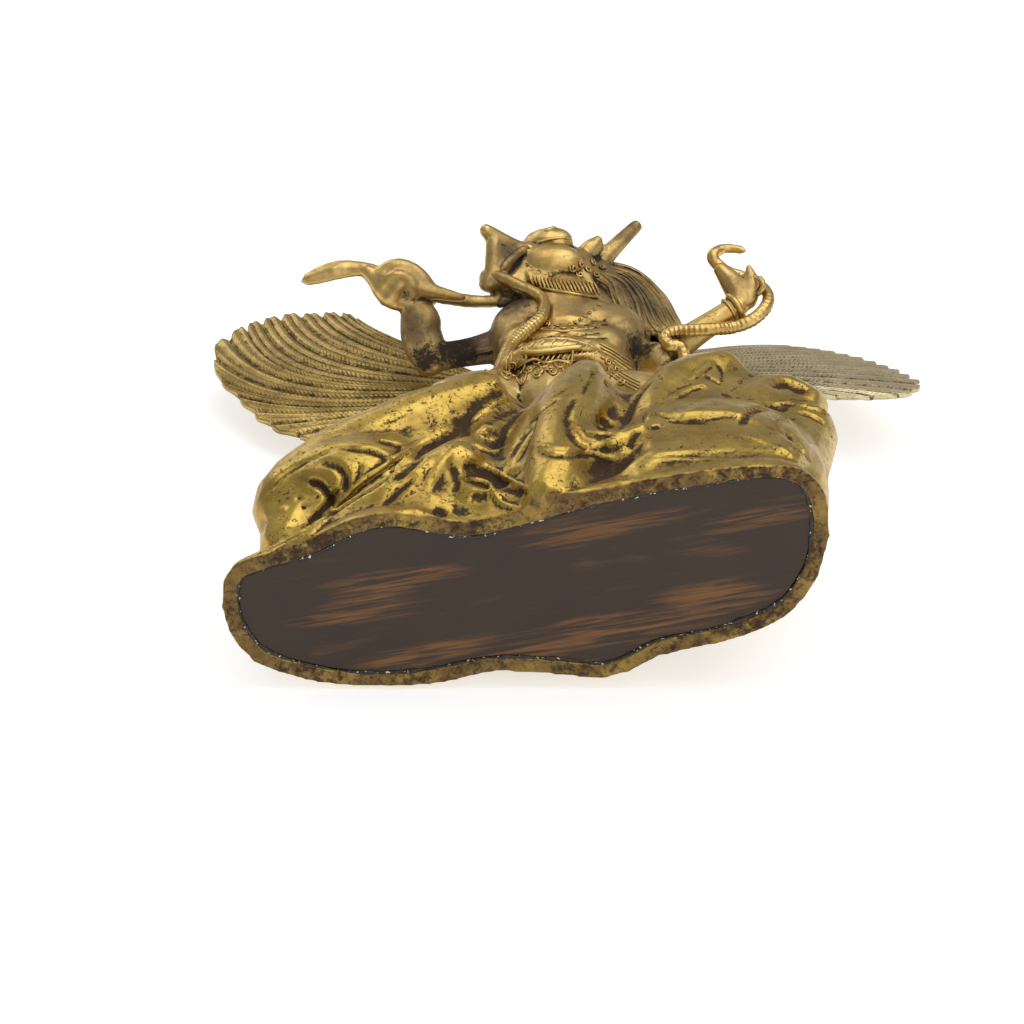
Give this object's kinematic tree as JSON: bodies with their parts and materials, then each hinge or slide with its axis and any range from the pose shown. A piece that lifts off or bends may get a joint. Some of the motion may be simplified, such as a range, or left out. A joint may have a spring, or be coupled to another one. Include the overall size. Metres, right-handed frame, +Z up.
{
  "type": "garuda statue",
  "caption": "Gilt bronze garuda statue: winged bird man holding a snake, on a rock base closed by a dark wooden board.",
  "frame": {"origin": "centre of the bounding box, on the ground under the rim", "axes": "+Z up from the underside, -Y the side the figure faces, +X to the right seen from the front"},
  "size_m": [0.323, 0.0974, 0.3052],
  "materials": {
    "gilt_bronze_bright": "bright worn gilding",
    "gilt_bronze_worn": "dull gilding with brown patina",
    "dark_wood": "dark stained, streaked"
  },
  "bodies": {
    "root": {"rock_base": "gilt_bronze_bright", "base_board": "dark_wood", "garuda_figure": "gilt_bronze_worn", "left_wing": "gilt_bronze_worn", "right_wing": "gilt_bronze_worn", "snake": "gilt_bronze_worn"}
  },
  "joints": []
}
